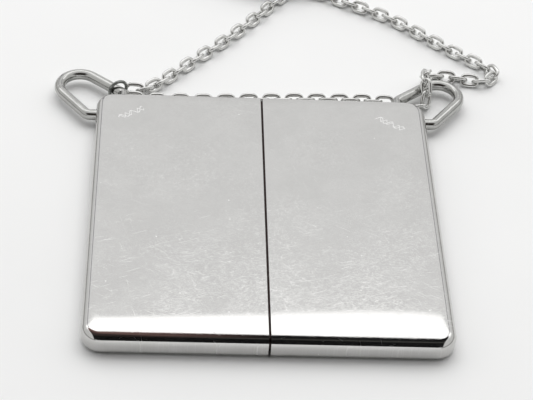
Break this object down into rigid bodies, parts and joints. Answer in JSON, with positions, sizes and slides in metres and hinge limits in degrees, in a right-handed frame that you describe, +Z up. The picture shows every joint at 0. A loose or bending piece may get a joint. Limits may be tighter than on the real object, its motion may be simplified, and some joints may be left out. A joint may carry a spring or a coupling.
{
  "type": "pull-apart metal wallet on a chain",
  "caption": "Flat square metal wallet in two halves that slide apart on an inner collar, with wire corner loops and a cable chain threaded through them.",
  "frame": {"origin": "on the table under the middle of the box round the case and its two loops, chain left out", "axes": "+X from the left half to the right half, along which the right half slides off; +Y towards the edge with the loops; +Z up out of the broad face"},
  "size_m": [0.1391, 0.2123, 0.0086],
  "materials": {
    "shell_steel": "polished stainless steel with fine handling scratches",
    "collar_steel": "dark blackened steel, brushed along the slide",
    "spring_steel": "tempered spring steel, satin",
    "loop_steel": "polished round wire",
    "retainer_steel": "plain stamped steel",
    "chain_steel": "polished cable chain with flattened links"
  },
  "bodies": {
    "left_half": {"left_shell": "shell_steel", "collar": "collar_steel", "near_friction_spring": "spring_steel", "far_friction_spring": "spring_steel", "card_spring": "spring_steel", "left_loop": "loop_steel", "left_loop_back_retainer": "retainer_steel", "left_loop_side_retainer": "retainer_steel", "jump_ring": "chain_steel", "chain_left_strand": "chain_steel", "chain_crossing_strand": "chain_steel", "chain_back_strand": "chain_steel", "chain_coil": "chain_steel"},
    "right_half": {"right_shell": "shell_steel", "right_loop": "loop_steel", "right_loop_back_retainer": "retainer_steel", "right_loop_side_retainer": "retainer_steel", "chain_right_strand": "chain_steel", "chain_flat_link": "chain_steel"}
  },
  "joints": [
    {"name": "right_half_slide", "type": "slide", "parent": "left_half", "child": "right_half", "axis": [1, 0, 0], "range_m": [0, 0.018]}
  ]
}
